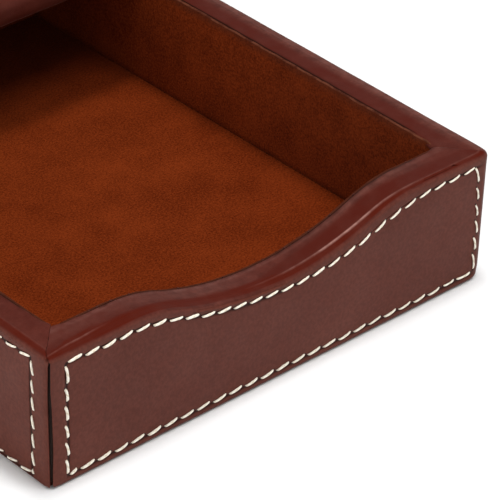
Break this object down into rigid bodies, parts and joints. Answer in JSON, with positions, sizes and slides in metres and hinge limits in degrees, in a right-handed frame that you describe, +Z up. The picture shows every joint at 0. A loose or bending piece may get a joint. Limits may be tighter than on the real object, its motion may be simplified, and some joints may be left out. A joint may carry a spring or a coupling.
{
  "type": "letter tray",
  "caption": "Double letter tray in stitched leather: scooped, suede-lined trays, the lower one sliding out like a drawer from under the stand that carries the upper one.",
  "frame": {"origin": "on the desk, at the middle of the whole thing's footprint as it stands with the lower tray pulled out", "axes": "+X to the right seen from the front, +Y from the scooped fronts to the back, +Z up"},
  "size_m": [0.285, 0.58, 0.1545],
  "materials": {
    "leather": "smooth matte, dark red-brown, burnished at the rims",
    "suede": "brushed suede, warm brown",
    "felt": "pressed wool felt, very dark brown",
    "board": "plain fibreboard",
    "hardwood": "planed beech",
    "brass": "satin brass"
  },
  "bodies": {
    "stand": {"cheek_tongues": "hardwood", "rear_bumpers": "felt", "stand_back_core": "board", "stand_back_cover": "leather", "stand_back_lining": "felt", "stand_board_core": "board", "stand_board_cover": "leather", "stand_board_lining": "felt", "stand_feet": "felt", "stand_left_channel": "brass", "stand_left_core": "board", "stand_left_cover": "leather", "stand_left_lining": "felt", "stand_right_channel": "brass", "stand_right_core": "board", "stand_right_cover": "leather", "stand_right_lining": "felt", "tray_tenons": "hardwood", "upper_back_core": "board", "upper_back_cover": "leather", "upper_back_lining": "suede", "upper_base_board": "board", "upper_corner_splines": "hardwood", "upper_floor_lining": "suede", "upper_front_core": "board", "upper_front_cover": "leather", "upper_front_lining": "suede", "upper_left_core": "board", "upper_left_cover": "leather", "upper_left_lining": "suede", "upper_right_core": "board", "upper_right_cover": "leather", "upper_right_lining": "suede"},
    "lower_tray": {"left_runner": "brass", "lower_back_core": "board", "lower_back_cover": "leather", "lower_back_lining": "suede", "lower_base_board": "board", "lower_base_felt": "felt", "lower_corner_splines": "hardwood", "lower_floor_lining": "suede", "lower_front_core": "board", "lower_front_cover": "leather", "lower_front_lining": "suede", "lower_left_core": "board", "lower_left_cover": "leather", "lower_left_lining": "suede", "lower_right_core": "board", "lower_right_cover": "leather", "lower_right_lining": "suede", "right_runner": "brass"}
  },
  "joints": [
    {"name": "lower_tray_slide", "type": "slide", "parent": "stand", "child": "lower_tray", "axis": [0, -1, 0], "range_m": [-0.2375, 0.0352]}
  ]
}
